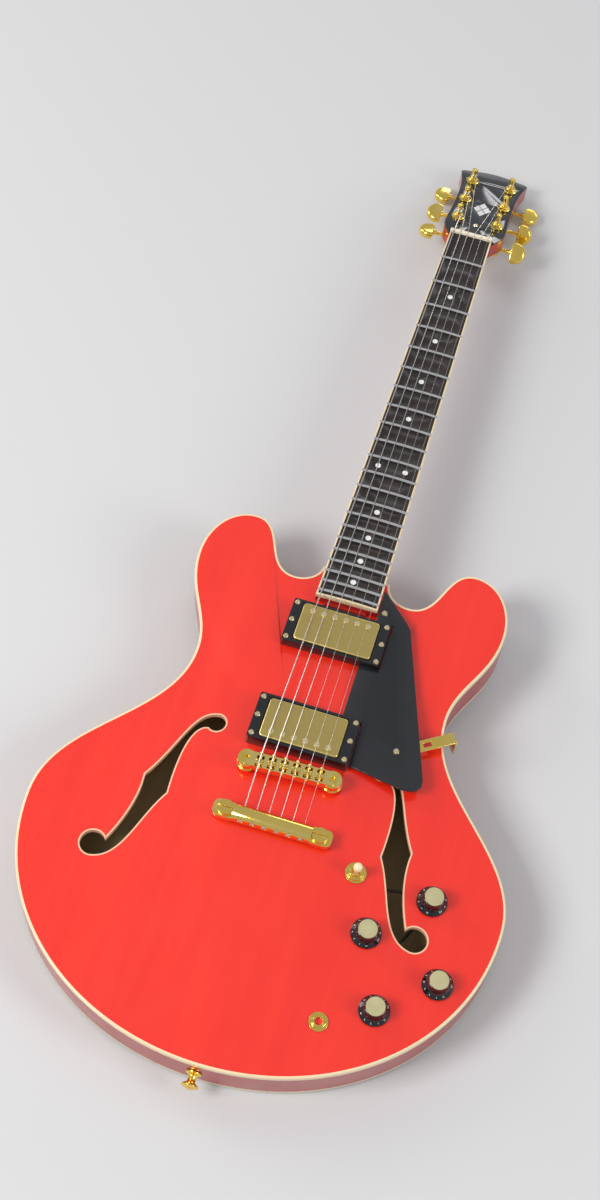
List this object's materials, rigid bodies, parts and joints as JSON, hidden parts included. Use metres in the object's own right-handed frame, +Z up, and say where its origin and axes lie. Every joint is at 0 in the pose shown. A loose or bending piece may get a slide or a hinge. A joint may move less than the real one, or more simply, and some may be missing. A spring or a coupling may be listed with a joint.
{
  "type": "electric guitar",
  "caption": "Semi-hollow electric guitar with a double cutaway, arched top, sound holes, covered pickups, set neck and geared tuners that turn.",
  "frame": {"origin": "centre of the bounding box's underside, on the surface that the guitar lies on", "axes": "+X towards the treble side, +Y towards the headstock, +Z up from the back to the strings, lying on its back as it rests"},
  "size_m": [0.414, 1.0364, 0.0872],
  "materials": {
    "top_plate": "gloss lacquer",
    "back_plate": "gloss lacquer",
    "rim": "gloss lacquer",
    "center_block": "raw",
    "linings": "raw",
    "binding": "gloss",
    "neck": "gloss lacquer",
    "headstock_veneer": "gloss",
    "pearl_inlays": "pearl",
    "fretboard": "satin",
    "fretboard_binding": "gloss",
    "frets": "polished",
    "nut": "polished",
    "truss_rod": "plain",
    "truss_rod_cover": "gloss",
    "tuner_housings": "gold plated",
    "tuner_bushings": "gold plated",
    "pickup_covers": "brushed gold plate",
    "pickup_rings": "gloss",
    "pickup_coils": "wound",
    "pickup_baseplates": "plain",
    "pole_screws": "gold plated",
    "bridge_body": "gold plated",
    "intonation_screws": "gold plated",
    "bridge_posts": "gold plated",
    "tailpiece": "gold plated",
    "tailpiece_studs": "gold plated",
    "pickguard": "satin",
    "pickguard_bracket": "gold plated",
    "selector_switch": "gold plated",
    "potentiometers": "plain",
    "tone_capacitors": "gloss",
    "output_jack": "gold plated",
    "strap_buttons": "gold plated",
    "strings": "wound steel",
    "mounting_screws": "gold plated",
    "wiring": "insulated",
    "tuner_key_1": "gold plated",
    "tuner_key_2": "gold plated",
    "tuner_key_3": "gold plated",
    "tuner_key_4": "gold plated",
    "tuner_key_5": "gold plated",
    "tuner_key_6": "gold plated",
    "tuner_post_1": "gold plated",
    "tuner_post_2": "gold plated",
    "tuner_post_3": "gold plated",
    "tuner_post_4": "gold plated",
    "tuner_post_5": "gold plated",
    "tuner_post_6": "gold plated",
    "control_knob_1": "gloss",
    "control_knob_2": "gloss",
    "control_knob_3": "gloss",
    "control_knob_4": "gloss",
    "selector_lever": "gloss",
    "saddle_1": "gold plated",
    "saddle_2": "gold plated",
    "saddle_3": "gold plated",
    "saddle_4": "gold plated",
    "saddle_5": "gold plated",
    "saddle_6": "gold plated"
  },
  "bodies": {
    "body": {"top_plate": "top_plate", "back_plate": "back_plate", "rim": "rim", "center_block": "center_block", "linings": "linings", "binding": "binding", "neck": "neck", "headstock_veneer": "headstock_veneer", "pearl_inlays": "pearl_inlays", "fretboard": "fretboard", "fretboard_binding": "fretboard_binding", "frets": "frets", "nut": "nut", "truss_rod": "truss_rod", "truss_rod_cover": "truss_rod_cover", "tuner_housings": "tuner_housings", "tuner_bushings": "tuner_bushings", "pickup_covers": "pickup_covers", "pickup_rings": "pickup_rings", "pickup_coils": "pickup_coils", "pickup_baseplates": "pickup_baseplates", "pole_screws": "pole_screws", "bridge_body": "bridge_body", "intonation_screws": "intonation_screws", "bridge_posts": "bridge_posts", "tailpiece": "tailpiece", "tailpiece_studs": "tailpiece_studs", "pickguard": "pickguard", "pickguard_bracket": "pickguard_bracket", "selector_switch": "selector_switch", "potentiometers": "potentiometers", "tone_capacitors": "tone_capacitors", "output_jack": "output_jack", "strap_buttons": "strap_buttons", "strings": "strings", "mounting_screws": "mounting_screws", "wiring": "wiring"},
    "key_1": {"tuner_key_1": "tuner_key_1"},
    "post_1": {"tuner_post_1": "tuner_post_1"},
    "saddle_body_1": {"saddle_1": "saddle_1"},
    "key_2": {"tuner_key_2": "tuner_key_2"},
    "post_2": {"tuner_post_2": "tuner_post_2"},
    "saddle_body_2": {"saddle_2": "saddle_2"},
    "key_3": {"tuner_key_3": "tuner_key_3"},
    "post_3": {"tuner_post_3": "tuner_post_3"},
    "saddle_body_3": {"saddle_3": "saddle_3"},
    "key_4": {"tuner_key_4": "tuner_key_4"},
    "post_4": {"tuner_post_4": "tuner_post_4"},
    "saddle_body_4": {"saddle_4": "saddle_4"},
    "key_5": {"tuner_key_5": "tuner_key_5"},
    "post_5": {"tuner_post_5": "tuner_post_5"},
    "saddle_body_5": {"saddle_5": "saddle_5"},
    "key_6": {"tuner_key_6": "tuner_key_6"},
    "post_6": {"tuner_post_6": "tuner_post_6"},
    "saddle_body_6": {"saddle_6": "saddle_6"},
    "knob_1": {"control_knob_1": "control_knob_1"},
    "knob_2": {"control_knob_2": "control_knob_2"},
    "knob_3": {"control_knob_3": "control_knob_3"},
    "knob_4": {"control_knob_4": "control_knob_4"},
    "selector": {"selector_lever": "selector_lever"}
  },
  "joints": [
    {"name": "tuner_key_1_turn", "type": "hinge", "parent": "body", "child": "key_1", "pos_m": [-0.0205, 0.4043, 0.03428], "axis": [1, 0, 0], "continuous": true},
    {"name": "tuner_key_2_turn", "type": "hinge", "parent": "body", "child": "key_2", "pos_m": [-0.0205, 0.4423, 0.0218], "axis": [1, 0, 0], "continuous": true},
    {"name": "tuner_key_3_turn", "type": "hinge", "parent": "body", "child": "key_3", "pos_m": [-0.0205, 0.4803, 0.00931], "axis": [1, 0, 0], "continuous": true},
    {"name": "tuner_key_4_turn", "type": "hinge", "parent": "body", "child": "key_4", "pos_m": [0.0205, 0.4803, 0.00931], "axis": [1, 0, 0], "continuous": true},
    {"name": "tuner_key_5_turn", "type": "hinge", "parent": "body", "child": "key_5", "pos_m": [0.0205, 0.4423, 0.0218], "axis": [1, 0, 0], "continuous": true},
    {"name": "tuner_key_6_turn", "type": "hinge", "parent": "body", "child": "key_6", "pos_m": [0.0205, 0.4043, 0.03428], "axis": [1, 0, 0], "continuous": true},
    {"name": "tuner_post_1_turn", "type": "hinge", "parent": "body", "child": "post_1", "pos_m": [-0.0205, 0.41662, 0.05192], "axis": [0, 0.3121, 0.95], "continuous": true},
    {"name": "tuner_post_2_turn", "type": "hinge", "parent": "body", "child": "post_2", "pos_m": [-0.0205, 0.45462, 0.03943], "axis": [0, 0.3121, 0.95], "continuous": true},
    {"name": "tuner_post_3_turn", "type": "hinge", "parent": "body", "child": "post_3", "pos_m": [-0.0205, 0.49262, 0.02695], "axis": [0, 0.3121, 0.95], "continuous": true},
    {"name": "tuner_post_4_turn", "type": "hinge", "parent": "body", "child": "post_4", "pos_m": [0.0205, 0.49262, 0.02695], "axis": [0, 0.3121, 0.95], "continuous": true},
    {"name": "tuner_post_5_turn", "type": "hinge", "parent": "body", "child": "post_5", "pos_m": [0.0205, 0.45462, 0.03943], "axis": [0, 0.3121, 0.95], "continuous": true},
    {"name": "tuner_post_6_turn", "type": "hinge", "parent": "body", "child": "post_6", "pos_m": [0.0205, 0.41662, 0.05192], "axis": [0, 0.3121, 0.95], "continuous": true},
    {"name": "control_knob_1_turn", "type": "hinge", "parent": "body", "child": "knob_1", "pos_m": [0.144, -0.31909, 0.05627], "axis": [0.0622, -0.0497, 0.9968], "range_deg": [-150, 150]},
    {"name": "control_knob_2_turn", "type": "hinge", "parent": "body", "child": "knob_2", "pos_m": [0.0997, -0.36212, 0.05625], "axis": [0.0583, -0.0819, 0.9949], "range_deg": [-150, 150]},
    {"name": "control_knob_3_turn", "type": "hinge", "parent": "body", "child": "knob_3", "pos_m": [0.1665, -0.38497, 0.05192], "axis": [0.0192, -0.0484, 0.9986], "range_deg": [-150, 150]},
    {"name": "control_knob_4_turn", "type": "hinge", "parent": "body", "child": "knob_4", "pos_m": [0.1235, -0.42096, 0.05086], "axis": [0.022, -0.0621, 0.9978], "range_deg": [-150, 150]},
    {"name": "selector_tilt", "type": "hinge", "parent": "body", "child": "selector", "pos_m": [0.0775, -0.31628, 0.06135], "axis": [0.9975, 0.0038, -0.07], "range_deg": [-14, 14]},
    {"name": "saddle_1_slide", "type": "slide", "parent": "body", "child": "saddle_body_1", "axis": [-0.0384, 0.9985, 0.0386], "range_m": [-0.0012, 0.0025]},
    {"name": "saddle_2_slide", "type": "slide", "parent": "body", "child": "saddle_body_2", "axis": [-0.0384, 0.9985, 0.0386], "range_m": [-0.0012, 0.0025]},
    {"name": "saddle_3_slide", "type": "slide", "parent": "body", "child": "saddle_body_3", "axis": [-0.0384, 0.9985, 0.0386], "range_m": [-0.0012, 0.0025]},
    {"name": "saddle_4_slide", "type": "slide", "parent": "body", "child": "saddle_body_4", "axis": [-0.0384, 0.9985, 0.0386], "range_m": [-0.0012, 0.0025]},
    {"name": "saddle_5_slide", "type": "slide", "parent": "body", "child": "saddle_body_5", "axis": [-0.0384, 0.9985, 0.0386], "range_m": [-0.0012, 0.0025]},
    {"name": "saddle_6_slide", "type": "slide", "parent": "body", "child": "saddle_body_6", "axis": [-0.0384, 0.9985, 0.0386], "range_m": [-0.0012, 0.0025]}
  ],
  "couplings": [
    {"joint": "tuner_post_1_turn", "follows": "tuner_key_1_turn", "ratio": -0.071429},
    {"joint": "tuner_post_2_turn", "follows": "tuner_key_2_turn", "ratio": -0.071429},
    {"joint": "tuner_post_3_turn", "follows": "tuner_key_3_turn", "ratio": -0.071429},
    {"joint": "tuner_post_4_turn", "follows": "tuner_key_4_turn", "ratio": -0.071429},
    {"joint": "tuner_post_5_turn", "follows": "tuner_key_5_turn", "ratio": -0.071429},
    {"joint": "tuner_post_6_turn", "follows": "tuner_key_6_turn", "ratio": -0.071429}
  ]
}
